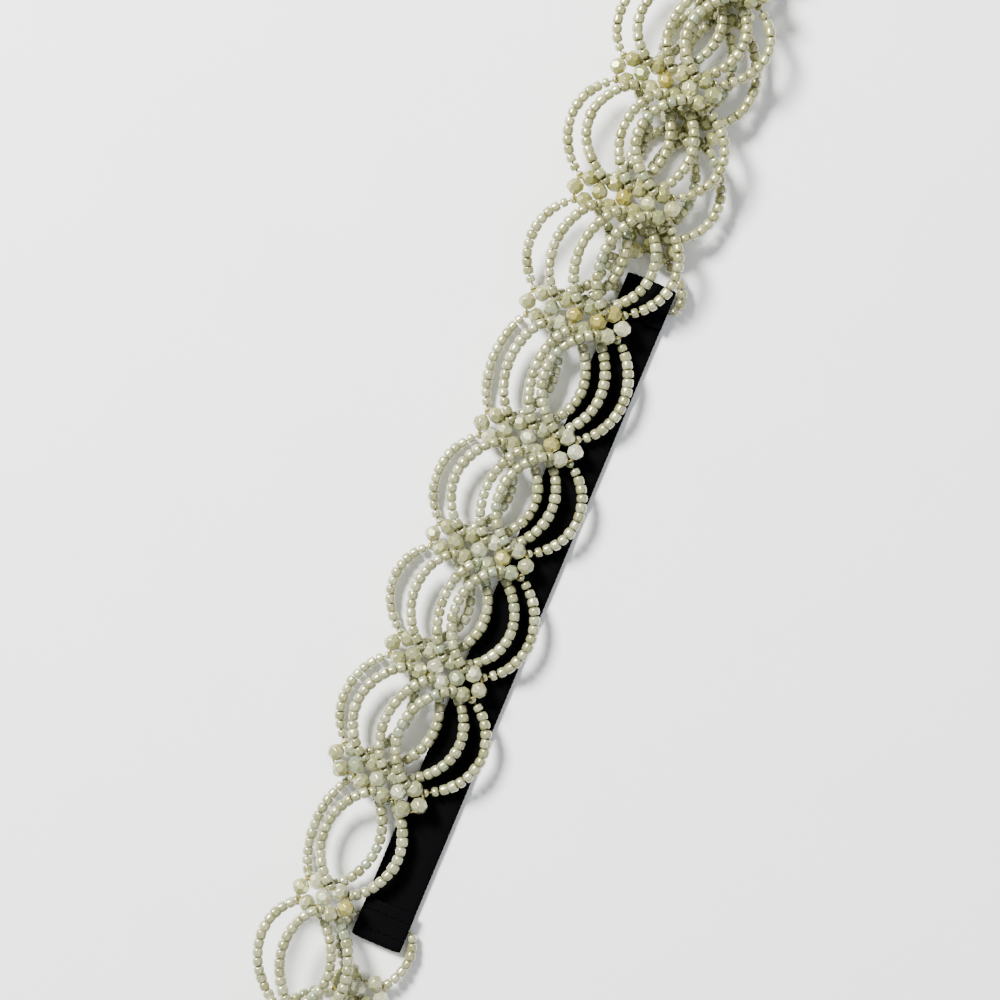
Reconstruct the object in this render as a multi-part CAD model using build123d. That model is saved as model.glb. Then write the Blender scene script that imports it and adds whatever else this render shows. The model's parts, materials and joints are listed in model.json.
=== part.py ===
from build123d import *
import math
import os

# Beaded elastic headband, laid flat as a closed loop.
# Frame: +X across the band, +Y along it, +Z up. Millimetres. The origin is under the middle of the
# loop, on the surface it lies on.
# Strip coordinates (along, across, out) follow the bead strip round the whole loop: "along" is measured
# from the middle of cluster 0, "across" is the same as X, and "out" points out of the loop.

# ---- driving dimensions ----
PEARL_DIAMETER = 3.25
PEARL_LENGTH = 3.0
PEARL_HOLE = 1.0
PEARL_SIDES = 10
PEARL_SPACING = 4.95
PEARL_ROW_STEP = 2.3
SEED_DIAMETER = 2.1
SEED_LENGTH = 1.5
SEED_CHAMFER = 0.38
SEED_HOLE = 0.9
NEXT_SEED = (1.9, 1.3)
END_SEED = (1.6, 0.95)
SEED_PITCH = 1.8
FOLD_SEED_PITCH = 2.0
THREAD_DIAMETER = 0.3
SWING_GAP = 0.5
LEAD_GAP = 0.35
STRAND_LEVEL = 1.15
PASSING_LEVEL = 2.05
STRAND_RISE = 1.3
PASSING_REACH = 4.6
SETTLE_REACH = 3.0
FOLD_RADIUS = 3.0
REST_HEIGHT = PASSING_LEVEL + SEED_DIAMETER / 2
FRONT_HEIGHT = 4.2
FRONT_ROLL = 4.5
ELASTIC_WIDTH = 10.6
ELASTIC_THICKNESS = 1.0
ELASTIC_LIFT = 0.4
HEM_LENGTH = 8.0
HEM_GAP = 0.5
HEM_TUNNEL = 4.2
STITCH_THREAD = 0.3
STITCH_COUNT = 6
STITCH_REACH = 0.45

# Middle of each cluster in strip coordinates, and how far it has turned in the plane of the strip.
CLUSTERS = [
    {"along": 0.0, "across": 13.8, "turn": 3.0, "units": 2},
    {"along": 25.0, "across": 3.4, "turn": 2.0, "units": 2},
    {"along": 50.1, "across": 0.0, "turn": -3.0, "units": 2},
    {"along": 75.8, "across": 0.6, "turn": -9.0, "units": 4},
    {"along": 101.1, "across": 2.4, "turn": -5.3, "units": 4},
    {"along": 126.0, "across": 1.25, "turn": 4.0, "units": 4},
    {"along": 150.6, "across": 1.3, "turn": 5.5, "units": 4},
    {"along": 176.7, "across": 0.2, "turn": 7.2, "units": 4},
    {"along": 201.6, "across": -0.1, "turn": 9.8, "units": 4},
    {"along": 226.2, "across": -1.6, "turn": 6.0, "units": 4},
    {"along": 249.6, "across": 0.0, "turn": 1.0, "units": 4},
    {"along": 275.4, "across": 3.2, "turn": 0.0, "units": 2},
    {"along": 300.4, "across": 6.6, "turn": 4.0, "units": 2},
    {"along": 325.0, "across": 8.7, "turn": -2.0, "units": 2},
]

# How far each ring's left and right strand stands out from its pearls, lobe by lobe, from left to right.
LOBES = [
    [(6.8, 4.7), (6.0, 7.2)],
    [(7.4, 7.6), (7.4, 6.4)],
    [(5.2, 8.1), (7.6, 8.0)],
    [(6.5, 7.0), (8.2, 8.0), (6.6, 8.9), (8.0, 9.2)],
    [(7.0, 9.2), (7.0, 8.0), (5.9, 9.0), (7.9, 8.4)],
    [(6.6, 8.3), (7.8, 8.8), (6.1, 7.5), (8.2, 8.2)],
    [(5.0, 7.7), (6.5, 9.0), (6.1, 8.0), (8.9, 7.8)],
    [(6.8, 9.1), (6.7, 7.1), (6.6, 8.5), (6.8, 8.2)],
    [(7.8, 7.6), (9.2, 7.4), (7.2, 7.3), (9.0, 9.0)],
    [(7.0, 7.6), (8.0, 7.8), (6.6, 8.2), (8.0, 8.4)],
    [(6.4, 6.4), (6.4, 6.4)],
    [(7.0, 7.4), (7.2, 7.8)],
    [(7.2, 7.2), (7.0, 8.0)],
]
FOLD_LOBES = {0: "bottom", 10: "top"}
FRONT_LOBES = range(1, 10)

# ---- where the loop runs ----
FRONT_START = -50.0
BOTTOM_CLUSTER_Y = -14.4
TOP_CLUSTER_Y = 146.0
HALF_TURN = math.pi * FOLD_RADIUS
LAST_ALONG = CLUSTERS[-1]["along"]
BOTTOM_BEND_END = (BOTTOM_CLUSTER_Y - FRONT_START + HALF_TURN) / 2
BOTTOM_BEND_START = BOTTOM_BEND_END - HALF_TURN
TOP_BEND_START = (TOP_CLUSTER_Y - FRONT_START + LAST_ALONG - HALF_TURN) / 2
TOP_BEND_END = TOP_BEND_START + HALF_TURN
FOLD_HEIGHT = REST_HEIGHT + 2 * FOLD_RADIUS
BOTTOM_SLOPE = (14.0, -14.0)
TOP_SLOPE = (116.0, 148.0)
ELASTIC_BOTTOM = (13.3, -4.7)
ELASTIC_TOP = (11.9, 138.9)
END_RING_GAP = 0.7
END_RING_BULGE = 3.6
ORIGIN_X = 1.96
ORIGIN_Y = 88.31


def smooth(value):
    clipped = min(max(value, 0.0), 1.0)
    return clipped * clipped * (3 - 2 * clipped)


def climb(y):
    """How far the front layer has climbed over the back layer: 0 on the elastic, 1 at the folds."""
    bottom = smooth((y - BOTTOM_SLOPE[0]) / (BOTTOM_SLOPE[1] - BOTTOM_SLOPE[0]))
    top = smooth((y - TOP_SLOPE[0]) / (TOP_SLOPE[1] - TOP_SLOPE[0]))
    return max(bottom, top)


def front_height(y):
    return FRONT_HEIGHT + (FOLD_HEIGHT - FRONT_HEIGHT) * climb(y)


def loop_point(along):
    """Point of the strip's middle line, its outward normal in the YZ plane, and its roll."""
    if along < BOTTOM_BEND_START:
        y = FRONT_START + BOTTOM_BEND_END + BOTTOM_BEND_START - along
        return y, REST_HEIGHT, 0.0, -1.0, 0.0
    if along < BOTTOM_BEND_END:
        angle = (along - BOTTOM_BEND_START) / FOLD_RADIUS
        y = FRONT_START + BOTTOM_BEND_END - FOLD_RADIUS * math.sin(angle)
        z = REST_HEIGHT + FOLD_RADIUS - FOLD_RADIUS * math.cos(angle)
        return y, z, -math.sin(angle), -math.cos(angle), 0.0
    if along < TOP_BEND_START:
        y = FRONT_START + along
        slope = math.atan2(front_height(y + 0.5) - front_height(y - 0.5), 1.0)
        roll = math.radians(FRONT_ROLL) * (1 - climb(y))
        return y, front_height(y), -math.sin(slope), math.cos(slope), roll
    if along < TOP_BEND_END:
        angle = (along - TOP_BEND_START) / FOLD_RADIUS
        y = FRONT_START + TOP_BEND_START + FOLD_RADIUS * math.sin(angle)
        z = FOLD_HEIGHT - FOLD_RADIUS + FOLD_RADIUS * math.cos(angle)
        return y, z, math.sin(angle), math.cos(angle), 0.0
    y = FRONT_START + TOP_BEND_START + TOP_BEND_END - along
    return y, REST_HEIGHT, 0.0, -1.0, 0.0


def place(along, across, out=0.0):
    """Strip coordinates to the part's frame."""
    y, z, normal_y, normal_z, roll = loop_point(along)
    raised = across * math.sin(roll) + out * math.cos(roll)
    x = across * math.cos(roll) - out * math.sin(roll)
    return Vector(x - ORIGIN_X, y + raised * normal_y - ORIGIN_Y, z + raised * normal_z)


# ---- single beads ----
def make_pearl(diameter):
    """Faceted round bead, its hole along Z."""
    half = PEARL_LENGTH / 2
    radius = diameter / 2
    rings = [(-half, 0.5), (-0.62 * half, 0.84), (0.0, 1.0), (0.62 * half, 0.84), (half, 0.5)]
    corners = []
    for height, share in rings:
        step = 2 * math.pi / PEARL_SIDES
        ring = [
            (radius * share * math.cos(step * k), radius * share * math.sin(step * k), height)
            for k in range(PEARL_SIDES)
        ]
        corners.append(ring)
    faces = [Face(Wire.make_polygon(corners[0])), Face(Wire.make_polygon(corners[-1]))]
    for low, high in zip(corners, corners[1:]):
        for k in range(PEARL_SIDES):
            after = (k + 1) % PEARL_SIDES
            faces.append(Face(Wire.make_polygon([low[k], low[after], high[after], high[k]])))
    return Solid(Shell(faces)) - Cylinder(PEARL_HOLE / 2, 2 * PEARL_LENGTH)


def make_seed(diameter, length):
    """Seed bead, a short chamfered tube with its hole along Z."""
    body = Cylinder(diameter / 2, length)
    body = chamfer(body.edges(), SEED_CHAMFER)
    return body - Cylinder(SEED_HOLE / 2, 2 * length)


PEARLS = [make_pearl(PEARL_DIAMETER), make_pearl(PEARL_DIAMETER - 0.1)]
SEED_SIZES = [
    (SEED_DIAMETER, SEED_LENGTH),
    (SEED_DIAMETER - 0.12, SEED_LENGTH - 0.1),
    (SEED_DIAMETER - 0.05, SEED_LENGTH - 0.18),
    NEXT_SEED,
    END_SEED,
]
SEEDS = {size: make_seed(*size) for size in SEED_SIZES}


def put(solid, middle, axis):
    return solid.moved(Location(Plane(origin=middle, z_dir=axis)))


def make_thread(points, diameter=THREAD_DIAMETER):
    """One run of thread through a list of points."""
    start = Plane(origin=points[0], z_dir=points[1] - points[0])
    return sweep(start * Circle(diameter / 2), Polyline(points), transition=Transition.RIGHT)


# ---- clusters ----
def cluster_spot(index, forward, sideways):
    """Strip coordinates of a spot in a cluster, given from the cluster's own middle."""
    cluster = CLUSTERS[index]
    turn = math.radians(cluster["turn"])
    across = cluster["across"] + sideways * math.cos(turn) - forward * math.sin(turn)
    along = cluster["along"] + sideways * math.sin(turn) + forward * math.cos(turn)
    return along, across


def row_places(units):
    return [(k - (units - 1) / 2) * PEARL_SPACING for k in range(units)]


def make_cluster(index):
    units = CLUSTERS[index]["units"]
    beads = []
    for k in range(units + 1):
        sideways = (k - units / 2) * PEARL_SPACING
        middle = place(*cluster_spot(index, 0, sideways))
        ahead = place(*cluster_spot(index, 1, sideways))
        beads.append(put(PEARLS[k % 2], middle, ahead - middle))
    for forward in (-PEARL_ROW_STEP, PEARL_ROW_STEP):
        for k, sideways in enumerate(row_places(units)):
            middle = place(*cluster_spot(index, forward, sideways))
            beside = place(*cluster_spot(index, forward, sideways + 1))
            beads.append(put(PEARLS[(k + 1) % 2], middle, beside - middle))
    return Compound(beads)


# ---- strands of seed beads ----
def ring_pearls(lobe):
    """Row places of the pearls that the lobe's rings pass through, on its two clusters."""
    lower = row_places(CLUSTERS[lobe]["units"])
    upper = row_places(CLUSTERS[lobe + 1]["units"])
    count = len(LOBES[lobe])
    skip_lower = (len(lower) - count) // 2
    skip_upper = (len(upper) - count) // 2
    return lower[skip_lower:skip_lower + count], upper[skip_upper:skip_upper + count]


def strand_out(lobe, ring, side, distance):
    """Left strands pass over the next pearl and lie on top, right strands pass under and lie below.

    The left edge strand has no pearl to pass and hangs down. In a fold all strands come together.
    """
    direction = -1 if side > 0 or (ring == 0 and lobe in FRONT_LOBES) else 1
    rise = 1 - (1 - min(distance / STRAND_RISE, 1.0)) ** 2
    settle = smooth((distance - PASSING_REACH) / SETTLE_REACH)
    resting = 0.1 if lobe in FOLD_LOBES else STRAND_LEVEL
    return direction * (PASSING_LEVEL + (resting - PASSING_LEVEL) * settle) * rise


class Strand:
    """One side of a ring: a run of seed beads from one cluster's pearl to the next cluster's pearl."""

    def __init__(self, lobe, ring, side, swings=False):
        lower, upper = ring_pearls(lobe)
        exit_reach = side * (PEARL_DIAMETER / 2 + 0.05)
        start = cluster_spot(lobe, PEARL_ROW_STEP, lower[ring] + exit_reach)
        end = cluster_spot(lobe + 1, -PEARL_ROW_STEP, upper[ring] + exit_reach)
        bulge = LOBES[lobe][ring][0 if side < 0 else 1] - PEARL_DIAMETER / 2
        folded = lobe in FOLD_LOBES
        self.points = []
        samples = 160
        span = end[0] - start[0]
        for k in range(samples + 1):
            share = k / samples
            forward = (1 - math.cos(math.pi * share)) / 4 + share / 2
            along = start[0] + (end[0] - start[0]) * forward
            across = start[1] + (end[1] - start[1]) * forward + side * bulge * math.sin(math.pi * share)
            near = math.hypot(bulge * math.sin(math.pi * share), min(forward, 1 - forward) * span)
            out = strand_out(lobe, ring, side, near)
            self.points.append(place(along, across, out))
        self.lengths = [0.0]
        for before, after in zip(self.points, self.points[1:]):
            self.lengths.append(self.lengths[-1] + (after - before).length)
        pitch = FOLD_SEED_PITCH if folded else SEED_PITCH
        spare = SWING_GAP if swings else 0.0
        beaded = self.lengths[-1] - 2 * spare - 2 * LEAD_GAP
        count = int(beaded / pitch)
        pitch = beaded / count
        self.stations = [LEAD_GAP + (k + 0.5) * pitch for k in range(count)]
        if swings:
            moved = [station + spare for station in self.stations[1:-1]]
            self.stations = [self.stations[0]] + moved + [self.stations[-1] + 2 * spare]

    def at(self, distance):
        distance = min(max(distance, 0.0), self.lengths[-1])
        k = 1
        while k < len(self.lengths) - 1 and self.lengths[k] < distance:
            k += 1
        span = self.lengths[k] - self.lengths[k - 1]
        share = (distance - self.lengths[k - 1]) / span
        return self.points[k - 1] + (self.points[k] - self.points[k - 1]) * share

    def size(self, k):
        """Beads differ a little, and the ones beside the pearls are the smallest."""
        from_end = min(k, len(self.stations) - 1 - k)
        if from_end == 0:
            return END_SEED
        if from_end <= 2:
            return NEXT_SEED
        return SEED_SIZES[(2 * k + len(self.stations)) % 3]

    def seed(self, k):
        station = self.stations[k]
        half = self.size(k)[1] / 2
        axis = self.at(station + half) - self.at(station - half)
        return put(SEEDS[self.size(k)], self.at(station), axis)


def swinging_strands(lobe):
    """The left and right edge strands of a wide front lobe."""
    last = len(LOBES[lobe]) - 1
    return {"left": Strand(lobe, 0, -1, swings=True), "right": Strand(lobe, last, 1, swings=True)}


def is_wide(lobe):
    return len(LOBES[lobe]) == 4


def lobe_strands(lobe):
    """Every strand of a lobe except the ones that swing."""
    strands = []
    last = len(LOBES[lobe]) - 1
    for ring in range(len(LOBES[lobe])):
        for side in (-1, 1):
            swings = is_wide(lobe) and ((ring == 0 and side < 0) or (ring == last and side > 0))
            if not swings:
                strands.append(Strand(lobe, ring, side))
    return strands


def end_ring_path(index, side):
    """Points of the thread from an end cluster's outer pearl to the tunnel in the elastic's hem."""
    forward = -PEARL_ROW_STEP if index == 0 else PEARL_ROW_STEP
    outer = side * (PEARL_SPACING / 2 + PEARL_DIAMETER / 2 + 0.05)
    start = place(*cluster_spot(index, forward, outer))
    near_end = ELASTIC_BOTTOM if index == 0 else ELASTIC_TOP
    inward = 1 if index == 0 else -1
    hem_x = near_end[0] + side * (ELASTIC_WIDTH / 2 + END_RING_GAP) - ORIGIN_X
    hem_y = near_end[1] + inward * HEM_TUNNEL - ORIGIN_Y
    end = Vector(hem_x, hem_y, ELASTIC_LIFT + ELASTIC_THICKNESS + HEM_GAP / 2)
    floor = SEED_DIAMETER / 2
    widest = max(start.X * side, end.X * side) + END_RING_BULGE
    middle = Vector(widest * side, (start.Y + end.Y) / 2, floor)
    points = []
    samples = 60
    for k in range(samples + 1):
        share = k / samples
        rest = 1 - share
        spot = start * (rest * rest) + middle * (2 * share * rest) + end * (share * share)
        points.append(Vector(spot.X, spot.Y, max(spot.Z, floor)))
    return points


class EndStrand(Strand):
    """Half of the ring that ties the bead strip to the elastic."""

    def __init__(self, index, side):
        self.points = end_ring_path(index, side)
        self.lengths = [0.0]
        for before, after in zip(self.points, self.points[1:]):
            self.lengths.append(self.lengths[-1] + (after - before).length)
        count = int((self.lengths[-1] - LEAD_GAP) / SEED_PITCH)
        pitch = (self.lengths[-1] - LEAD_GAP) / count
        self.stations = [LEAD_GAP + (k + 0.5) * pitch for k in range(count)]


# ---- elastic ----
def elastic_frame():
    """Place and direction of the elastic: X across, Y along, from its bottom end to its top end."""
    start = Vector(ELASTIC_BOTTOM[0] - ORIGIN_X, ELASTIC_BOTTOM[1] - ORIGIN_Y, 0)
    end = Vector(ELASTIC_TOP[0] - ORIGIN_X, ELASTIC_TOP[1] - ORIGIN_Y, 0)
    lean = math.degrees(math.atan2(end.Y - start.Y, end.X - start.X)) - 90
    return Location((start.X, start.Y, 0), (0, 0, lean)), (end - start).length


def stitch_rows(length):
    rows = []
    for inset in (HEM_TUNNEL - 1.9, HEM_TUNNEL + 1.9):
        rows.append(inset)
        rows.append(length - inset)
    return rows


def stitch_places():
    spacing = ELASTIC_WIDTH / STITCH_COUNT
    return [(k - (STITCH_COUNT - 1) / 2) * spacing for k in range(STITCH_COUNT)]


def make_elastic():
    """Flat band with both ends turned over to make a hem with a thread tunnel."""
    where, length = elastic_frame()
    bottom = ELASTIC_LIFT
    top = bottom + ELASTIC_THICKNESS
    band = Pos(0, length / 2, (bottom + top) / 2) * Box(ELASTIC_WIDTH, length, ELASTIC_THICKNESS)
    flap_height = top + HEM_GAP + ELASTIC_THICKNESS / 2
    shape = band
    for middle, end in ((HEM_LENGTH / 2, 0.0), (length - HEM_LENGTH / 2, length)):
        flap = Pos(0, middle, flap_height) * Box(ELASTIC_WIDTH, HEM_LENGTH, ELASTIC_THICKNESS)
        inward = 1 if end == 0.0 else -1
        fold = Pos(0, end + inward * 0.5, top + HEM_GAP / 2) * Box(ELASTIC_WIDTH, 1.0, HEM_GAP)
        shape = shape + flap + fold
    ends = shape.edges().filter_by(Axis.X).sort_by(Axis.Y)
    corners = [ends[0], ends[1], ends[-1], ends[-2]]
    shape = fillet(corners, 0.8 * ELASTIC_THICKNESS)
    needle_hole = Cylinder(STITCH_THREAD / 2 + 0.05, 4 * flap_height)
    channel = Box(2 * STITCH_REACH, STITCH_THREAD + 0.1, 2 * STITCH_THREAD + 0.1)
    for row in stitch_rows(length):
        for x in stitch_places():
            for side in (-STITCH_REACH, STITCH_REACH):
                shape = shape - Pos(x + side, row, flap_height / 2) * needle_hole
            shape = shape - Pos(x, row, bottom) * channel
    return where * shape


def make_stitches(at_top):
    """Each stitch is a loop of thread through both layers of a hem, sunk into the underside."""
    where, length = elastic_frame()
    low = ELASTIC_LIFT + STITCH_THREAD / 2
    high = ELASTIC_LIFT + 2 * ELASTIC_THICKNESS + HEM_GAP + STITCH_THREAD / 2 + 0.02
    stitches = []
    for row in stitch_rows(length):
        if (row > length / 2) != at_top:
            continue
        for x in stitch_places():
            points = [
                Vector(x - 0.1, row, low),
                Vector(x - STITCH_REACH, row, low),
                Vector(x - STITCH_REACH, row, high),
                Vector(x + STITCH_REACH, row, high),
                Vector(x + STITCH_REACH, row, low),
                Vector(x + 0.1, row, low),
            ]
            stitches.append(where * make_thread(points, STITCH_THREAD))
    return Compound(stitches)


def tunnel_threads():
    """The thread of each end ring, where it crosses the elastic inside the hem."""
    threads = []
    for index in (0, len(CLUSTERS) - 1):
        ends = [end_ring_path(index, side)[-1] for side in (-1, 1)]
        threads.append(make_thread(ends))
    return threads


def solids_of(strands):
    return [strand.seed(k) for strand in strands for k in range(len(strand.stations))]


def build_nodes():
    nodes = {"elastic_band": make_elastic(), "hem_threads": Compound(tunnel_threads())}
    nodes["bottom_hem_stitches"] = make_stitches(False)
    nodes["top_hem_stitches"] = make_stitches(True)
    for index in range(len(CLUSTERS)):
        nodes[f"pearl_cluster_{index:02d}"] = make_cluster(index)
    for lobe in range(len(LOBES)):
        beads = solids_of(lobe_strands(lobe))
        if lobe in FOLD_LOBES:
            nodes[f"{FOLD_LOBES[lobe]}_fold_beads"] = Compound(beads)
        elif not is_wide(lobe):
            nodes[f"ring_beads_{lobe:02d}"] = Compound(beads)
        else:
            for name, strand in swinging_strands(lobe).items():
                last = len(strand.stations) - 1
                swinging = [strand.seed(k) for k in range(1, last)]
                nodes[f"{name}_edge_strand_{lobe:02d}"] = Compound(swinging)
                beads.extend([strand.seed(0), strand.seed(last)])
            nodes[f"inner_ring_beads_{lobe:02d}"] = Compound(beads)
    for index, name in ((0, "bottom"), (len(CLUSTERS) - 1, "top")):
        strands = [EndStrand(index, side) for side in (-1, 1)]
        nodes[f"{name}_end_ring_beads"] = Compound(solids_of(strands))
    return nodes


if __name__ == "__main__":
    os.makedirs("parts", exist_ok=True)
    for name, shape in build_nodes().items():
        export_step(shape, f"parts/{name}.step")
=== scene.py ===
import bmesh
import bpy
import json
import math
import numpy as np
import random
from mathutils import Matrix, Vector


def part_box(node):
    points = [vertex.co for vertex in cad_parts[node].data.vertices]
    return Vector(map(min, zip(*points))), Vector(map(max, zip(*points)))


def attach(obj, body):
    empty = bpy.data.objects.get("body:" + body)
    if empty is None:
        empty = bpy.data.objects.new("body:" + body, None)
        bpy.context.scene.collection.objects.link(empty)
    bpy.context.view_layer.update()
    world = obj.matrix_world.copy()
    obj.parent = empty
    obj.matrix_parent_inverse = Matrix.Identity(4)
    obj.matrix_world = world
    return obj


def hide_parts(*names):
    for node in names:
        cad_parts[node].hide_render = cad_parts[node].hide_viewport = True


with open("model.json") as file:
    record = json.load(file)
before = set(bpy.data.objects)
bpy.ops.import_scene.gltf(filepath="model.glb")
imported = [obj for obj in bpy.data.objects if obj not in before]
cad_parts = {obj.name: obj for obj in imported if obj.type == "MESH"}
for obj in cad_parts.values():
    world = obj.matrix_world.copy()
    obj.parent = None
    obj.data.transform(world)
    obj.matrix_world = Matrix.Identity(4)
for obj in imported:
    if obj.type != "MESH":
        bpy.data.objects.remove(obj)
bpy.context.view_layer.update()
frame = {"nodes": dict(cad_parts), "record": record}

bl_info = {
    "name": "Beaded elastic headband",
    "version": (1, 0, 0),
    "blender": (4, 5, 0),
    "location": "View3D > Sidebar > Headband",
    "description": "Builds the pearls, seed beads, thread and elastic of a beaded headband on its frame",
    "category": "Add Mesh",
}

MM = 0.001
SEED_WORDS = ("ring_beads", "fold_beads", "edge_strand")
SEED_NODES = sorted(n for n in frame["nodes"] if any(word in n for word in SEED_WORDS))
PEARL_NODES = sorted(n for n in frame["nodes"] if n.startswith("pearl_cluster"))
STITCH_NODES = ["bottom_hem_stitches", "top_hem_stitches"]
BODIES = frame["record"]["behaviour"]["bodies"]
BODY_OF = {node: body for body, nodes in BODIES.items() for node in nodes}


# ---- settings a user can change ----
class HeadbandBeadSettings(bpy.types.PropertyGroup):
    """Sizes of the beads and the thread"""
    seed_length: bpy.props.FloatProperty(
        name="Seed length", description="Mean length of a seed bead along its thread",
        default=1.84 * MM, min=1.2 * MM, max=1.9 * MM, subtype="DISTANCE", unit="LENGTH")
    seed_diameter: bpy.props.FloatProperty(
        name="Seed diameter", description="Mean outer diameter of a seed bead",
        default=2.22 * MM, min=1.8 * MM, max=2.3 * MM, subtype="DISTANCE", unit="LENGTH")
    seed_unevenness: bpy.props.FloatProperty(
        name="Seed unevenness", description="How much seed beads differ in length and diameter",
        default=0.08, min=0.0, max=0.3, subtype="FACTOR")
    pearl_diameter: bpy.props.FloatProperty(
        name="Pearl diameter", description="Mean diameter of a faceted round bead",
        default=3.38 * MM, min=3.0 * MM, max=3.5 * MM, subtype="DISTANCE", unit="LENGTH")
    pearl_sides: bpy.props.IntProperty(
        name="Pearl facets", description="Facets round the girdle of a round bead", default=7, min=6, max=10)
    pearl_softness: bpy.props.FloatProperty(
        name="Facet softness", description="Width of the rounded edge between two facets",
        default=0.09 * MM, min=0.02 * MM, max=0.4 * MM, subtype="DISTANCE", unit="LENGTH")
    thread_diameter: bpy.props.FloatProperty(
        name="Thread diameter", description="Diameter of the beading thread",
        default=0.36 * MM, min=0.1 * MM, max=0.5 * MM, subtype="DISTANCE", unit="LENGTH")
    random_seed: bpy.props.IntProperty(
        name="Random seed", description="Start of the random unevenness of the beads", default=11, min=0)


class HeadbandColourSettings(bpy.types.PropertyGroup):
    """Colours of the beads, the thread and the elastic"""
    seed_ivory: bpy.props.FloatVectorProperty(
        name="Seed ivory", description="Main colour of the seed beads",
        default=(0.285, 0.285, 0.13), size=3, min=0.0, max=1.0, subtype="COLOR")
    seed_pale: bpy.props.FloatVectorProperty(
        name="Seed pale", description="Colour of the palest seed beads",
        default=(0.42, 0.43, 0.25), size=3, min=0.0, max=1.0, subtype="COLOR")
    seed_mint: bpy.props.FloatVectorProperty(
        name="Seed mint", description="Colour of the few mint seed beads",
        default=(0.30, 0.35, 0.22), size=3, min=0.0, max=1.0, subtype="COLOR")
    pearl_cream: bpy.props.FloatVectorProperty(
        name="Pearl cream", description="Main colour of the round beads",
        default=(0.33, 0.33, 0.145), size=3, min=0.0, max=1.0, subtype="COLOR")
    pearl_white: bpy.props.FloatVectorProperty(
        name="Pearl white", description="Colour of the palest round beads",
        default=(0.60, 0.62, 0.44), size=3, min=0.0, max=1.0, subtype="COLOR")
    pearl_green: bpy.props.FloatVectorProperty(
        name="Pearl grey green", description="Colour of the coolest round beads",
        default=(0.33, 0.37, 0.225), size=3, min=0.0, max=1.0, subtype="COLOR")
    pearl_yellow: bpy.props.FloatVectorProperty(
        name="Pearl yellow", description="Colour of the yellowest round beads",
        default=(0.40, 0.35, 0.085), size=3, min=0.0, max=1.0, subtype="COLOR")
    elastic_black: bpy.props.FloatVectorProperty(
        name="Elastic black", description="Colour of the elastic band",
        default=(0.0012, 0.0012, 0.0014), size=3, min=0.0, max=1.0, subtype="COLOR")
    thread_colour: bpy.props.FloatVectorProperty(
        name="Thread", description="Colour of the beading thread",
        default=(0.30, 0.25, 0.06), size=3, min=0.0, max=1.0, subtype="COLOR")


# ---- small helpers for materials ----
# A Mix node's sockets for colours, by number: their names are shared with its other kinds of value.
MIX_FIRST, MIX_SECOND, MIX_RESULT = 6, 7, 2


def new_material(name):
    """A material with a single Principled shader, as (material, node tree, shader)."""
    material = bpy.data.materials.new(name)
    material.use_nodes = True
    tree = material.node_tree
    tree.nodes.clear()
    output = tree.nodes.new("ShaderNodeOutputMaterial")
    shader = tree.nodes.new("ShaderNodeBsdfPrincipled")
    tree.links.new(shader.outputs["BSDF"], output.inputs["Surface"])
    return material, tree, shader


def set_inputs(node, values):
    for name, value in values.items():
        node.inputs[name].default_value = value


def object_noise(tree, scale, detail=2.0, roughness=0.5):
    """Noise in the piece's own coordinates. The scale is in lumps per metre."""
    coordinates = tree.nodes.new("ShaderNodeTexCoord")
    noise = tree.nodes.new("ShaderNodeTexNoise")
    set_inputs(noise, {"Scale": scale, "Detail": detail, "Roughness": roughness})
    tree.links.new(coordinates.outputs["Object"], noise.inputs["Vector"])
    return noise.outputs["Fac"]


def ramp(tree, factor, stops):
    """The colour for a factor, from stops of (position, colour)."""
    node = tree.nodes.new("ShaderNodeValToRGB")
    elements = node.color_ramp.elements
    while len(elements) < len(stops):
        elements.new(0.5)
    for element, (position, colour) in zip(elements, stops):
        element.position = position
        element.color = (*colour, 1.0)
    tree.links.new(factor, node.inputs["Fac"])
    return node.outputs["Color"]


def spread(tree, value, low, high):
    """Stretch a value between 0 and 1 to lie between low and high."""
    node = tree.nodes.new("ShaderNodeMapRange")
    set_inputs(node, {"To Min": low, "To Max": high})
    tree.links.new(value, node.inputs["Value"])
    return node.outputs["Result"]


def mixed(tree, blend, share, first, second):
    """Blend two colours. The share is a number or a socket, and a colour is a tuple or a socket."""
    node = tree.nodes.new("ShaderNodeMix")
    node.data_type = "RGBA"
    node.blend_type = blend
    if isinstance(share, float):
        node.inputs["Factor"].default_value = share
    else:
        tree.links.new(share, node.inputs["Factor"])
    for value, socket in ((first, node.inputs[MIX_FIRST]), (second, node.inputs[MIX_SECOND])):
        if isinstance(value, tuple):
            socket.default_value = (*value, 1.0)
        else:
            tree.links.new(value, socket)
    return node.outputs[MIX_RESULT]


def bump(tree, shader, height, strength, distance):
    """Relief in the shading, up to distance in metres."""
    node = tree.nodes.new("ShaderNodeBump")
    set_inputs(node, {"Strength": strength, "Distance": distance})
    tree.links.new(height, node.inputs["Height"])
    tree.links.new(node.outputs["Normal"], shader.inputs["Normal"])


def yellowed(tree, colour, tint, start, end):
    """Multiply a colour by a tint that comes in along the band, from start to end in metres."""
    coordinates = tree.nodes.new("ShaderNodeTexCoord")
    split = tree.nodes.new("ShaderNodeSeparateXYZ")
    tree.links.new(coordinates.outputs["Object"], split.inputs["Vector"])
    share = tree.nodes.new("ShaderNodeMapRange")
    share.interpolation_type = "SMOOTHSTEP"
    set_inputs(share, {"From Min": start, "From Max": end})
    tree.links.new(split.outputs["Y"], share.inputs["Value"])
    return mixed(tree, "MULTIPLY", share.outputs["Result"], colour, tint)


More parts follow.
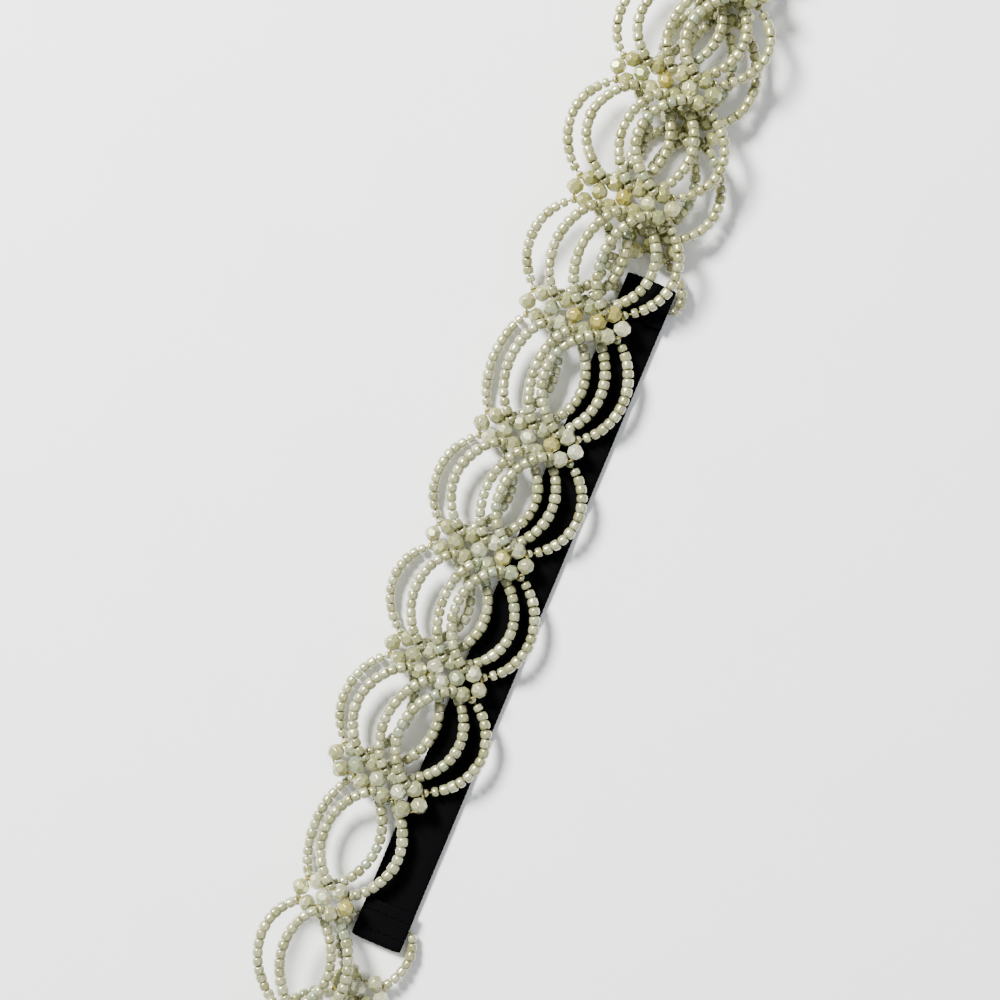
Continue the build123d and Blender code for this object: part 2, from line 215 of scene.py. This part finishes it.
# ---- materials ----
# The coating that seed beads and round beads share.
CLOUDS = [(0.3, (0.66, 0.65, 0.44)), (0.7, (1.0, 1.0, 1.0))]
CLOUD_SHARE = 0.35
CLOUD_SCALE = 900.0
GRAIN_SCALE = 2600.0
GRAIN_ROUGHNESS = 0.07
DENT_SCALE = 1500.0
DENT_DEPTH = 0.05 * MM
TINT_START = 25.0 * MM
TINT_END = 60.0 * MM
COATING = {
    "Metallic": 0.42,
    "Coat Roughness": 0.1,
    "Coat IOR": 1.7,
    "Sheen Weight": 0.12,
    "Sheen Roughness": 0.35,
    "Subsurface Weight": 0.12,
    "Subsurface Scale": 0.6 * MM,
    "Subsurface Radius": (1.0, 0.9, 0.6),
}


def bead_material(name, stops, roughness, coat, dent, tint):
    """Pearl coating: each bead has its own colour, with soft clouds and fine dents in the coating."""
    material, tree, shader = new_material(name)
    geometry = tree.nodes.new("ShaderNodeNewGeometry")
    own = ramp(tree, geometry.outputs["Random Per Island"], stops)
    own = yellowed(tree, own, tint, TINT_START, TINT_END)
    clouds = ramp(tree, object_noise(tree, CLOUD_SCALE), CLOUDS)
    colour = mixed(tree, "MULTIPLY", CLOUD_SHARE, own, clouds)
    tree.links.new(colour, shader.inputs["Base Color"])
    grain = object_noise(tree, GRAIN_SCALE, detail=3.0)
    uneven = spread(tree, grain, roughness - GRAIN_ROUGHNESS, roughness + GRAIN_ROUGHNESS)
    tree.links.new(uneven, shader.inputs["Roughness"])
    set_inputs(shader, COATING)
    set_inputs(shader, {"Coat Weight": coat})
    bump(tree, shader, object_noise(tree, DENT_SCALE, detail=3.0), dent, DENT_DEPTH)
    return material


def seed_material(colours):
    ivory, pale, mint = tuple(colours.seed_ivory), tuple(colours.seed_pale), tuple(colours.seed_mint)
    stops = [(0.0, ivory), (0.45, pale), (0.9, ivory), (0.955, ivory), (0.975, mint)]
    return bead_material(
        "seed_bead_pearl", stops, roughness=0.27, coat=1.0, dent=0.25, tint=(1.0, 0.98, 0.85))


def pearl_material(colours):
    cream, white = tuple(colours.pearl_cream), tuple(colours.pearl_white)
    green, yellow = tuple(colours.pearl_green), tuple(colours.pearl_yellow)
    stops = [(0.0, white), (0.25, cream), (0.5, green), (0.72, cream), (0.9, white), (0.96, yellow)]
    return bead_material(
        "round_bead_pearl", stops, roughness=0.26, coat=0.9, dent=0.3, tint=(0.93, 0.9, 0.62))


def thread_material(colours):
    """Spun thread: dark and light fibres, with no gloss."""
    material, tree, shader = new_material("beading_thread")
    fibres = object_noise(tree, 6000.0, detail=4.0)
    light = tuple(colours.thread_colour)
    dark = tuple(0.55 * value for value in light)
    tree.links.new(ramp(tree, fibres, [(0.3, dark), (0.7, light)]), shader.inputs["Base Color"])
    set_inputs(shader, {"Roughness": 0.75})
    bump(tree, shader, fibres, strength=0.5, distance=0.05 * MM)
    return material


def black_cloth(name, colour, roughness):
    """Black yarn: fine fibre noise in colour, roughness and height."""
    material, tree, shader = new_material(name)
    fibres = object_noise(tree, 4200.0, detail=5.0, roughness=0.65)
    dark = tuple(colour)
    light = tuple(2.0 * value for value in colour)
    tree.links.new(ramp(tree, fibres, [(0.35, dark), (0.75, light)]), shader.inputs["Base Color"])
    uneven = spread(tree, fibres, roughness - 0.08, roughness + 0.08)
    tree.links.new(uneven, shader.inputs["Roughness"])
    set_inputs(shader, {"Specular IOR Level": 0.03})
    bump(tree, shader, fibres, strength=0.6, distance=0.08 * MM)
    return material


def paint(node, material):
    """Give a CAD node's object a new material."""
    data = frame["nodes"][node].data
    data.materials.clear()
    data.materials.append(material)


# ---- where the frame's beads are ----
WELD_DISTANCE = 0.002 * MM
MICRONS_PER_METRE = 1e6
FLATTENED = 0.5


class BeadPlace:
    """Middle, hole direction, length and diameter of one bead of the frame."""

    def __init__(self, corners, triangles):
        a, b, c = (corners[triangles[:, k]] for k in range(3))
        areas = np.linalg.norm(np.cross(b - a, c - a), axis=1) / 2
        middles = (a + b + c) / 3
        self.middle = (middles * areas[:, None]).sum(axis=0) / areas.sum()
        offsets = middles - self.middle
        scatter = (offsets * areas[:, None]).T @ offsets / areas.sum()
        values, vectors = np.linalg.eigh(scatter)
        # A bead is round about its hole, so the hole's direction is the one that differs from the rest.
        lone = 0 if values[1] - values[0] > values[2] - values[1] else 2
        self.axis = vectors[:, lone]
        along = (corners - self.middle) @ self.axis
        self.length = along.max() - along.min()
        self.middle = self.middle + self.axis * (along.max() + along.min()) / 2
        around = (corners - self.middle) - np.outer((corners - self.middle) @ self.axis, self.axis)
        self.diameter = 2 * np.linalg.norm(around, axis=1).max()

    def flatten(self, share):
        """Lay the hole flatter, as the thread's pull does beside the round beads."""
        lying = np.array([self.axis[0], self.axis[1], self.axis[2] * share])
        self.axis = lying / np.linalg.norm(lying)

    def ends(self, length):
        half = Vector(self.axis * length / 2)
        return Vector(self.middle) - half, Vector(self.middle) + half


def loose_part(first, seen):
    """Every vertex that edges join to the first one. Their numbers are added to seen."""
    stack, part = [first], []
    seen.add(first.index)
    while stack:
        vertex = stack.pop()
        part.append(vertex)
        for edge in vertex.link_edges:
            other = edge.other_vert(vertex)
            if other.index not in seen:
                seen.add(other.index)
                stack.append(other)
    return part


def bead_places(node):
    """One BeadPlace for each loose part of a frame node, in a fixed order."""
    mesh = bmesh.new()
    mesh.from_mesh(frame["nodes"][node].data)
    bmesh.ops.remove_doubles(mesh, verts=mesh.verts, dist=WELD_DISTANCE)
    bmesh.ops.triangulate(mesh, faces=mesh.faces)
    mesh.verts.ensure_lookup_table()
    seen = set()
    places = []
    for first in mesh.verts:
        if first.index in seen:
            continue
        part = loose_part(first, seen)
        number = {vertex.index: k for k, vertex in enumerate(part)}
        faces = {face for vertex in part for face in vertex.link_faces}
        triangles = sorted(tuple(number[v.index] for v in face.verts) for face in faces)
        corners = np.array([vertex.co[:] for vertex in part])
        places.append(BeadPlace(corners, np.array(triangles)))
    mesh.free()
    places.sort(key=lambda place: tuple(np.round(place.middle * MICRONS_PER_METRE)))
    return places


def lying_places(node):
    """The bead places of a node, with the holes of the rings' and strands' seed beads laid flatter."""
    places = bead_places(node)
    if node in SEED_NODES and "fold" not in node:
        for place in places:
            place.flatten(FLATTENED)
    return places


# ---- bead shapes ----
# A seed bead of length 1 and diameter 1. A lip is rounded, and longer than it is deep.
SEED_RADIUS = 0.5
SEED_SIDES = 20
LIP_STEPS = 4
LIP_LENGTH = 1.25
HOLE_WALL_END = 0.36
HOLE_MOUTH_END = 0.45
HOLE_FLARE = 0.05

# A round bead about 1 across. Each row of facets has its latitude in degrees and its turn in facets.
BLANK_SIZE = 1.3
FACET_ROWS = ((-45, 0.5), (0, 0.0), (45, 0.5))
FACET_DEPTH = 0.465
SLIVER = 0.015
BEVEL_STEPS = 2
CAP_AREA_WEIGHT = 0.2
HOLE_RIM = 0.06
HOLE_DEPTH = 0.2
WORN_AREA = 0.02

LINK_SIDES = 8


def lathe(profile, sides, wobble):
    """Turn a closed profile of (radius, height) about Z. Wobble(angle, height) scales the radius."""
    corners, faces = [], []
    for k in range(sides):
        angle = 2 * math.pi * k / sides
        for radius, height in profile:
            own = radius * wobble(angle, height)
            corners.append((own * math.cos(angle), own * math.sin(angle), height))
    count = len(profile)
    for k in range(sides):
        after = (k + 1) % sides
        for j in range(count):
            up = (j + 1) % count
            faces.append((k * count + j, after * count + j, after * count + up, k * count + up))
    return np.array(corners), faces


def tube_faces(rings, count):
    """Faces of a closed tube: its sides, between rings of count corners each, and a cap at each end."""
    faces = []
    for ring in range(rings - 1):
        low, high = ring * count, (ring + 1) * count
        for k in range(count):
            after = (k + 1) % count
            faces.append((low + k, low + after, high + after, high + k))
    last = (rings - 1) * count
    faces.append(tuple(reversed(range(count))))
    faces.append(tuple(range(last, last + count)))
    return faces


def seed_shape(generator):
    """Seed bead of length 1 and diameter 1: a short tube with rounded lips, a little out of true."""
    lip = generator.uniform(0.17, 0.23)
    belly = generator.uniform(0.0, 0.035)
    hole = generator.uniform(0.13, 0.16)
    skew = generator.uniform(-0.09, 0.09)
    squash = generator.uniform(-0.035, 0.035)
    phase = generator.uniform(0, 2 * math.pi)
    profile = [(hole, -HOLE_WALL_END), (hole + HOLE_FLARE, -HOLE_MOUTH_END)]
    for step in range(LIP_STEPS + 1):
        turn = math.pi / 2 * step / LIP_STEPS
        radius = SEED_RADIUS - lip + lip * math.sin(turn)
        profile.append((radius, -0.5 + LIP_LENGTH * lip * (1 - math.cos(turn))))
    profile.append((SEED_RADIUS + belly, 0.0))
    profile += [(radius, -height) for radius, height in reversed(profile[:-1])]

    def wobble(angle, height):
        return 1 + squash * math.cos(2 * (angle - phase)) + skew * height * math.cos(angle - phase)

    corners, faces = lathe(profile, SEED_SIDES, wobble)
    corners[:, 2] *= 1 + skew * corners[:, 0]
    return corners, faces


def facet_directions(generator, sides):
    """The way each facet of a round bead faces: both ends of the hole, then three uneven rows."""
    directions = [(0, 0, 1), (0, 0, -1)]
    for latitude, offset in FACET_ROWS:
        for k in range(sides):
            angle = 2 * math.pi * (k + offset) / sides + generator.uniform(-0.07, 0.07)
            tilt = math.radians(latitude + generator.uniform(-3, 3))
            level = math.cos(tilt)
            directions.append((level * math.cos(angle), level * math.sin(angle), math.sin(tilt)))
    return directions


def pearl_shape(generator, sides, softness):
    """Cut round bead about 1 across, its hole along Z: a block cut flat all over, its edges worn."""
    mesh = bmesh.new()
    bmesh.ops.create_cube(mesh, size=BLANK_SIZE)
    for direction in facet_directions(generator, sides):
        normal = Vector(direction)
        spot = normal * (FACET_DEPTH * generator.uniform(0.975, 1.025))
        parts = mesh.verts[:] + mesh.edges[:] + mesh.faces[:]
        made = bmesh.ops.bisect_plane(mesh, geom=parts, plane_co=spot, plane_no=normal, clear_outer=True)
        edges = [part for part in made["geom_cut"] if isinstance(part, bmesh.types.BMEdge)]
        bmesh.ops.contextual_create(mesh, geom=edges)
    bmesh.ops.dissolve_degenerate(mesh, dist=SLIVER, edges=mesh.edges)
    bmesh.ops.bevel(
        mesh, geom=mesh.edges[:], offset=softness, segments=BEVEL_STEPS, profile=0.5, affect="EDGES")
    bmesh.ops.recalc_face_normals(mesh, faces=mesh.faces)
    for pole in (-1, 1):
        def cap_score(face):
            return pole * face.calc_center_median().z + CAP_AREA_WEIGHT * face.calc_area()

        cap = max(mesh.faces, key=cap_score)
        bmesh.ops.inset_individual(mesh, faces=[cap], thickness=HOLE_RIM)
        inner = bmesh.ops.extrude_discrete_faces(mesh, faces=[cap])["faces"][0]
        bmesh.ops.translate(mesh, verts=inner.verts, vec=(0, 0, -HOLE_DEPTH * pole))
    mesh.verts.index_update()
    corners = np.array([vertex.co[:] for vertex in mesh.verts])
    faces = [tuple(vertex.index for vertex in face.verts) for face in mesh.faces]
    smooth = [face.calc_area() < WORN_AREA for face in mesh.faces]
    mesh.free()
    return corners, faces, smooth


def link_shape(start, end, diameter):
    """A short run of thread from start to end, with closed ends."""
    direction = (end - start).normalized()
    turn = direction.to_track_quat("Z", "Y").to_matrix()
    spots = (start, (start + end) / 2, end)
    corners = []
    for spot in spots:
        for k in range(LINK_SIDES):
            angle = 2 * math.pi * k / LINK_SIDES
            offset = Vector((math.cos(angle), math.sin(angle), 0)) * diameter / 2
            corners.append(spot + turn @ offset)
    return np.array([corner[:] for corner in corners]), tube_faces(len(spots), LINK_SIDES)


class Joined:
    """Collects shapes into one mesh object."""

    def __init__(self):
        self.corners = []
        self.faces = []
        self.smooth = []
        self.count = 0

    def add(self, corners, faces, smooth=None):
        self.corners.append(corners)
        self.faces.extend(tuple(index + self.count for index in face) for face in faces)
        self.smooth.extend(smooth or [True] * len(faces))
        self.count += len(corners)

    def make(self, name, material):
        data = bpy.data.meshes.new(name)
        data.from_pydata(np.vstack(self.corners).tolist(), [], self.faces)
        data.polygons.foreach_set("use_smooth", self.smooth)
        data.materials.append(material)
        data.update()
        piece = bpy.data.objects.new(name, data)
        bpy.context.scene.collection.objects.link(piece)
        return piece


# ---- how a bead is fitted to its place ----
# A frame bead of the usual size gets a visual bead of the mean size, and the others follow in part.
USUAL_LENGTH = 1.45 * MM
USUAL_DIAMETER = 2.05 * MM
LENGTH_FOLLOWS = 0.75
DIAMETER_FOLLOWS = 0.6
SEED_TILT = 5.0
PEARL_TILT = 6.0
SEED_SHAPES = 10
PEARL_SHAPES = 6

# Beads at a hinge stay close to the frame's size, so that they don't touch when the strand swings.
HINGE_LENGTH = 1.05
HINGE_DIAMETER = 1.02
SAME_SPOT = 0.1 * MM
HINGE_REACH = 2.7 * MM
SHORT_BEAD = 1.0 * MM


def hinge_beads():
    """Middles of the beads at both ends of every swinging strand."""
    middles = []
    for node in SEED_NODES:
        if "edge_strand" in node:
            along = sorted(bead_places(node), key=lambda place: place.middle[1])
            middles += [along[0].middle, along[-1].middle]
    return np.array(middles)


def beside_hinge(place, hinges):
    """True for a swinging strand's end bead and for the fixed bead that it turns against."""
    distance = np.linalg.norm(hinges - place.middle, axis=1).min()
    return distance < SAME_SPOT or (distance < HINGE_REACH and place.length < SHORT_BEAD)


def placed(corners, place, length, diameter, generator, tilt):
    """Scale a unit bead, turn it at random about its hole, tilt it a little and move it to its place."""
    turn = Vector(place.axis).to_track_quat("Z", "Y").to_matrix()
    spin = Matrix.Rotation(generator.uniform(0, 2 * math.pi), 3, "Z")
    lean_axis = Vector((generator.uniform(-1, 1), generator.uniform(-1, 1), 0.01)).normalized()
    lean = Matrix.Rotation(math.radians(generator.uniform(-tilt, tilt)), 3, lean_axis)
    scale = np.diag([diameter, diameter, length])
    whole = np.array(turn @ lean @ spin) @ scale
    return corners @ whole.T + place.middle


# ---- operators: one for each kind of piece, and one for the stage ----
class HEADBAND_OT_seed_beads(bpy.types.Operator):
    """Build the seed beads of every ring and strand"""
    bl_idname = "headband.seed_beads"
    bl_label = "Seed beads"

    def execute(self, context):
        beads = context.scene.headband_beads
        material = seed_material(context.scene.headband_colours)
        generator = random.Random(beads.random_seed)
        shapes = [seed_shape(generator) for _ in range(SEED_SHAPES)]
        hinges = hinge_beads()
        uneven = beads.seed_unevenness
        for node in SEED_NODES:
            joined = Joined()
            for place in lying_places(node):
                corners, faces = generator.choice(shapes)
                length = beads.seed_length + LENGTH_FOLLOWS * (place.length - USUAL_LENGTH)
                length *= generator.uniform(1 - uneven, 1 + 0.4 * uneven)
                diameter = beads.seed_diameter + DIAMETER_FOLLOWS * (place.diameter - USUAL_DIAMETER)
                diameter *= generator.uniform(1 - uneven, 1 + 0.5 * uneven)
                if beside_hinge(place, hinges):
                    length, diameter = HINGE_LENGTH * place.length, HINGE_DIAMETER * place.diameter
                joined.add(placed(corners, place, length, diameter, generator, SEED_TILT), faces)
            piece = joined.make(f"{node}_seeds", material)
            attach(piece, BODY_OF[node])
            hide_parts(node)
        return {"FINISHED"}


class HEADBAND_OT_pearls(bpy.types.Operator):
    """Build the faceted round beads of every cluster"""
    bl_idname = "headband.pearls"
    bl_label = "Pearl clusters"

    def execute(self, context):
        beads = context.scene.headband_beads
        material = pearl_material(context.scene.headband_colours)
        generator = random.Random(beads.random_seed + 1)
        softness = beads.pearl_softness / beads.pearl_diameter
        shapes = [pearl_shape(generator, beads.pearl_sides, softness) for _ in range(PEARL_SHAPES)]
        for node in PEARL_NODES:
            joined = Joined()
            for place in bead_places(node):
                corners, faces, smooth = generator.choice(shapes)
                diameter = beads.pearl_diameter * generator.uniform(0.95, 1.03)
                bead = placed(corners, place, diameter, diameter, generator, PEARL_TILT)
                joined.add(bead, faces, smooth)
            piece = joined.make(f"{node}_pearls", material)
            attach(piece, BODY_OF[node])
            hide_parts(node)
        return {"FINISHED"}


# ---- thread ----
# Thread in a hole is as wide as its several passes. Past a hole it goes to at most two near holes.
HOLE_THREAD = 1.9
NEAREST = 8
LINK_REACHES = (1.9 * MM, 1.5 * MM)
LINK_OVERLAP = 0.2 * MM


class HoleEnd:
    """One end of a bead's hole."""

    def __init__(self, spot, bead, body):
        self.spot = spot
        self.bead = bead
        self.body = body


def add_thread(joined, body, start, end, diameter):
    joined.setdefault(body, Joined()).add(*link_shape(start, end, diameter))


def thread_holes(joined, diameter):
    """Put thread through every bead, and list where the holes end."""
    ends = []
    for node in SEED_NODES + PEARL_NODES:
        body = BODY_OF[node]
        for bead, place in enumerate(lying_places(node)):
            start, end = place.ends(place.length)
            add_thread(joined, body, start, end, HOLE_THREAD * diameter)
            ends += [HoleEnd(spot, (node, bead), body) for spot in (start, end)]
    return ends


def neighbouring(ends):
    """Pairs of numbers of hole ends that lie close to each other in different beads."""
    spots = np.array([end.spot[:] for end in ends])
    pairs = set()
    for k, end in enumerate(ends):
        distances = np.linalg.norm(spots - spots[k], axis=1)
        near = [j for j in np.argsort(distances)[:NEAREST] if ends[j].bead != end.bead]
        pairs |= {(min(k, j), max(k, j)) for j, most in zip(near, LINK_REACHES) if distances[j] < most}
    return sorted(pairs)


def thread_gap(joined, first, second, diameter):
    """Join two hole ends with thread. Across a hinge each body gets half of it."""
    start, end = first.spot, second.spot
    past = (end - start).normalized() * LINK_OVERLAP
    middle = (start + end) / 2
    if first.body == second.body:
        add_thread(joined, first.body, start - past, end + past, diameter)
    else:
        add_thread(joined, first.body, start - past, middle + past / 2, diameter)
        add_thread(joined, second.body, end + past, middle - past / 2, diameter)


class HEADBAND_OT_thread(bpy.types.Operator):
    """Build the beading thread inside the beads and between neighbouring beads"""
    bl_idname = "headband.thread"
    bl_label = "Beading thread"

    def execute(self, context):
        diameter = context.scene.headband_beads.thread_diameter
        material = thread_material(context.scene.headband_colours)
        joined = {}
        ends = thread_holes(joined, diameter)
        for first, second in neighbouring(ends):
            thread_gap(joined, ends[first], ends[second], diameter)
        for body, parts in joined.items():
            piece = parts.make(f"thread_{body}", material)
            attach(piece, body)
        paint("hem_threads", material)
        return {"FINISHED"}


# ---- elastic ----
ELASTIC_THICKNESS = 1.0 * MM
HEM_LENGTH = 8.0 * MM
HEM_TURN_STEPS = 8
END_DEPTH = 3 * MM
SIDE_CORNERS = 54
STATION_STEP = 0.25 * MM

# The weave: the spacing of its cross threads and of its lengthwise cords, then its relief as a share
# of the thickness, and how far its edges draw in at each cross thread as a share of the width.
CROSS_THREAD = 1.1 * MM
CORD = 0.82 * MM
CORD_RELIEF = 0.05
CROSS_RELIEF = 0.022
EDGE_DRAW = 0.012


def elastic_outline(length, low, high):
    """Middle line of the band from one hem's free end to the other's, as (along, height)."""
    turn = (high - low) / 2
    points = [(HEM_LENGTH, high), (turn, high)]
    for step in range(1, HEM_TURN_STEPS):
        angle = math.pi * step / HEM_TURN_STEPS
        points.append((turn - turn * math.sin(angle), high - turn * (1 - math.cos(angle))))
    points.append((turn, low))
    mirrored = [(length - along, height) for along, height in reversed(points)]
    return points + mirrored


def spaced(points, step):
    """Points every step along a polyline, with the direction there."""
    spots = []
    for before, after in zip(points, points[1:]):
        span = math.dist(before, after)
        count = max(1, round(span / step))
        direction = ((after[0] - before[0]) / span, (after[1] - before[1]) / span)
        for k in range(count):
            share = k / count
            spot = tuple(b + (a - b) * share for a, b in zip(after, before))
            spots.append((spot, direction))
    spots.append((points[-1], direction))
    return spots


def elastic_ends():
    """Width of the CAD elastic, and the middles of its lower and upper ends across the band."""
    low_corner, high_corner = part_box("elastic_band")
    corners = [vertex.co for vertex in frame["nodes"]["elastic_band"].data.vertices]
    lower = [corner.x for corner in corners if corner.y < low_corner.y + END_DEPTH]
    upper = [corner.x for corner in corners if corner.y > high_corner.y - END_DEPTH]
    return max(lower) - min(lower), sum(lower) / len(lower), sum(upper) / len(upper)


def elastic_section(width, distance):
    """The woven cross-section as (across, out) from the middle line, at a distance along the band."""
    wave = math.cos(2 * math.pi * distance / CROSS_THREAD)
    narrow = 1 - EDGE_DRAW * (0.5 + 0.5 * wave)
    section = []
    for side in (1, -1):
        for k in range(SIDE_CORNERS):
            across = side * (2 * k / (SIDE_CORNERS - 1) - 1) * narrow
            edge = (1 - abs(across) ** 6) ** 0.5
            cord = (across * width / 2 + width) / CORD
            over = math.cos(math.pi * math.floor(cord))
            relief = CORD_RELIEF * abs(math.sin(math.pi * cord)) ** 0.7 - CORD_RELIEF
            relief += CROSS_RELIEF * over * wave
            section.append((across * width / 2, side * ELASTIC_THICKNESS * edge * (0.5 + relief)))
    return section


def elastic_shape(width, lower_middle, upper_middle):
    """The whole woven band, over the CAD elastic."""
    low_corner, high_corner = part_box("elastic_band")
    length = high_corner.y - low_corner.y
    low = low_corner.z + ELASTIC_THICKNESS / 2
    high = high_corner.z - ELASTIC_THICKNESS / 2
    stations = spaced(elastic_outline(length, low, high), STATION_STEP)
    corners = []
    distance = 0.0
    previous = stations[0][0]
    for spot, direction in stations:
        distance += math.dist(previous, spot)
        previous = spot
        share = spot[0] / length
        middle = lower_middle + (upper_middle - lower_middle) * share
        for across, out in elastic_section(width, distance):
            y = low_corner.y + spot[0] + direction[1] * out
            corners.append((middle + across, y, spot[1] - direction[0] * out))
    return np.array(corners), tube_faces(len(stations), 2 * SIDE_CORNERS)


class HEADBAND_OT_elastic(bpy.types.Operator):
    """Build the woven elastic band with its turned-over hems"""
    bl_idname = "headband.elastic"
    bl_label = "Elastic band"

    def execute(self, context):
        black = context.scene.headband_colours.elastic_black
        width, lower_middle, upper_middle = elastic_ends()
        joined = Joined()
        joined.add(*elastic_shape(width, lower_middle, upper_middle))
        piece = joined.make("elastic_band_woven", black_cloth("elastic_weave", black, roughness=0.9))
        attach(piece, "band")
        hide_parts("elastic_band")
        stitches = black_cloth("hem_stitch_yarn", black, roughness=0.6)
        for node in STITCH_NODES:
            paint(node, stitches)
        return {"FINISHED"}


# ---- stage ----
VIEW_TURN = math.radians(23.28)
VIEW_CENTRE = Vector((-0.9 * MM, -1.5 * MM, 0.0))
VIEW_WIDTH = 202.0 * MM
VIEW_HEIGHT = 520.0 * MM
FLOOR_HALF = 3.0
FLOOR_STEPS = 8


def floor_material():
    material, tree, shader = new_material("pale_floor")
    grain = object_noise(tree, 40.0, detail=3.0)
    colour = ramp(tree, grain, [(0.3, (0.95, 0.95, 0.955)), (0.7, (0.97, 0.97, 0.972))])
    tree.links.new(colour, shader.inputs["Base Color"])
    set_inputs(shader, {"Roughness": 0.9})
    return material


def floor_mesh():
    """A square grid at height 0."""
    data = bpy.data.meshes.new("floor")
    row = FLOOR_STEPS + 1
    lines = [-FLOOR_HALF + 2 * FLOOR_HALF * k / FLOOR_STEPS for k in range(row)]
    faces = [(j * row + i, j * row + i + 1, (j + 1) * row + i + 1, (j + 1) * row + i)
             for j in range(FLOOR_STEPS) for i in range(FLOOR_STEPS)]
    data.from_pydata([(x, y, 0.0) for y in lines for x in lines], [], faces)
    data.materials.append(floor_material())
    return data


def add_area_light(name, offset, size, power, colour):
    """A round light that faces the middle of the view. Its offset from there turns with the view."""
    light = bpy.data.lights.new(name, "AREA")
    light.shape = "DISK"
    light.size = size
    light.energy = power
    light.color = colour
    lamp = bpy.data.objects.new(name, light)
    lamp.location = VIEW_CENTRE + Matrix.Rotation(VIEW_TURN, 3, "Z") @ Vector(offset)
    lamp.rotation_euler = (VIEW_CENTRE - lamp.location).to_track_quat("-Z", "Y").to_euler()
    bpy.context.scene.collection.objects.link(lamp)


def add_camera(name):
    """A camera that looks straight down on the middle of the view."""
    data = bpy.data.cameras.new(name)
    data.lens = data.sensor_width * VIEW_HEIGHT / VIEW_WIDTH
    camera = bpy.data.objects.new(name, data)
    camera.location = VIEW_CENTRE + Vector((0, 0, VIEW_HEIGHT))
    camera.rotation_euler = (0, 0, VIEW_TURN)
    bpy.context.scene.collection.objects.link(camera)
    bpy.context.scene.camera = camera


class HEADBAND_OT_stage(bpy.types.Operator):
    """Set up the pale floor, the soft light and the camera above the band"""
    bl_idname = "headband.stage"
    bl_label = "Stage"

    def execute(self, context):
        floor = bpy.data.objects.new("floor", floor_mesh())
        bpy.context.scene.collection.objects.link(floor)
        add_area_light(
            "window_light", offset=(-0.55, 0.6, 0.8), size=0.36, power=52.0, colour=(1.0, 0.99, 0.97))
        add_area_light(
            "fill_light", offset=(0.5, -0.3, 0.8), size=1.0, power=3.0, colour=(0.95, 0.97, 1.0))
        world = bpy.data.worlds.new("soft_room")
        world.use_nodes = True
        background = world.node_tree.nodes["Background"]
        set_inputs(background, {"Color": (0.95, 0.97, 1.0, 1.0), "Strength": 0.42})
        context.scene.world = world
        add_camera("view_from_above")
        return {"FINISHED"}


class HEADBAND_PT_panel(bpy.types.Panel):
    """Sidebar panel with every setting and operator"""
    bl_idname = "HEADBAND_PT_panel"
    bl_label = "Beaded headband"
    bl_space_type = "VIEW_3D"
    bl_region_type = "UI"
    bl_category = "Headband"

    def draw(self, context):
        layout = self.layout
        for settings in (context.scene.headband_beads, context.scene.headband_colours):
            for name in settings.__annotations__:
                layout.prop(settings, name)
        for operator in OPERATORS:
            layout.operator(operator.bl_idname)


OPERATORS = (
    HEADBAND_OT_pearls,
    HEADBAND_OT_seed_beads,
    HEADBAND_OT_thread,
    HEADBAND_OT_elastic,
    HEADBAND_OT_stage,
)
CLASSES = (HeadbandBeadSettings, HeadbandColourSettings, *OPERATORS, HEADBAND_PT_panel)


def register():
    for each in CLASSES:
        bpy.utils.register_class(each)
    bpy.types.Scene.headband_beads = bpy.props.PointerProperty(type=HeadbandBeadSettings)
    bpy.types.Scene.headband_colours = bpy.props.PointerProperty(type=HeadbandColourSettings)


def unregister():
    del bpy.types.Scene.headband_colours
    del bpy.types.Scene.headband_beads
    for each in reversed(CLASSES):
        bpy.utils.unregister_class(each)


def main():
    register()
    bpy.ops.headband.pearls()
    bpy.ops.headband.seed_beads()
    bpy.ops.headband.thread()
    bpy.ops.headband.elastic()
    bpy.ops.headband.stage()
    bpy.context.view_layer.update()


if __name__ == "__main__":
    main()
